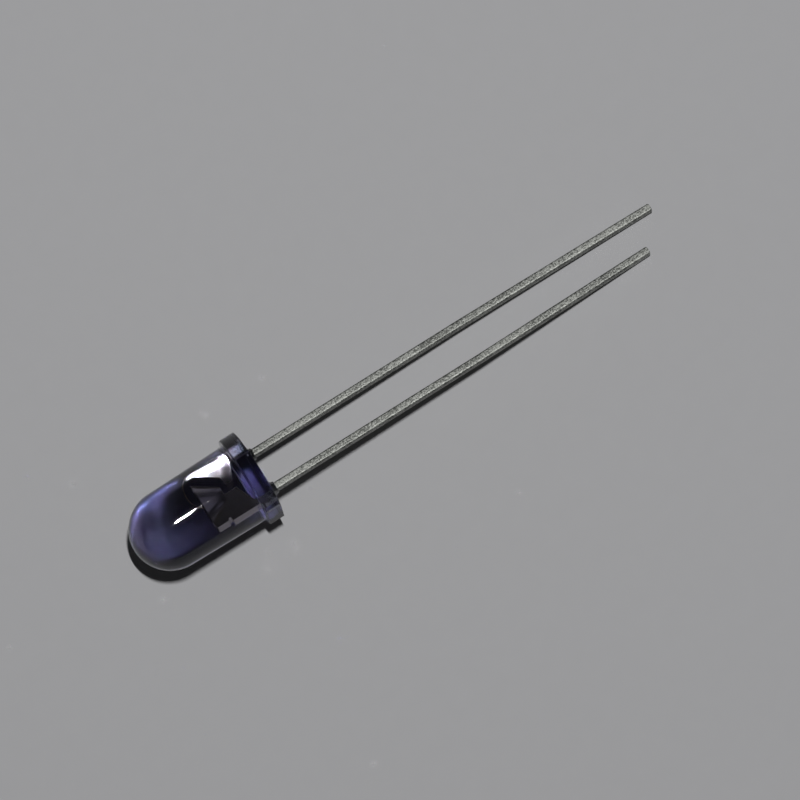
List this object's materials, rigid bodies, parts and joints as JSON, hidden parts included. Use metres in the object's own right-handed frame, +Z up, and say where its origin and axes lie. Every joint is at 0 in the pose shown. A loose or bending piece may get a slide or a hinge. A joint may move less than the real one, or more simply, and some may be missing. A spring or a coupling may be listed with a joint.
{
  "type": "infrared led",
  "caption": "Round domed infrared LED with a smoky blue-violet lens, a stepped flange with a flat and long square tinned leads, lying at rest.",
  "frame": {"origin": "on the ground under the middle of the LED as it lies at rest", "axes": "+X along the LED from the dome to the lead tips, +Y towards the anode lead, +Z up"},
  "size_m": [0.037, 0.0058, 0.006],
  "materials": {
    "tinted_epoxy": "clear cast epoxy with a smoky blue-violet tint, moulded gloss",
    "tinned_steel": "dull tin plating on stamped steel",
    "chip": "sawn semiconductor",
    "silver_adhesive": "silver-filled resin",
    "gold": "drawn gold wire"
  },
  "bodies": {
    "root": {"lens_body": "tinted_epoxy", "cathode_lead": "tinned_steel", "anode_lead": "tinned_steel", "emitter_die": "chip", "die_attach": "silver_adhesive", "bond_wire": "gold"}
  },
  "joints": []
}
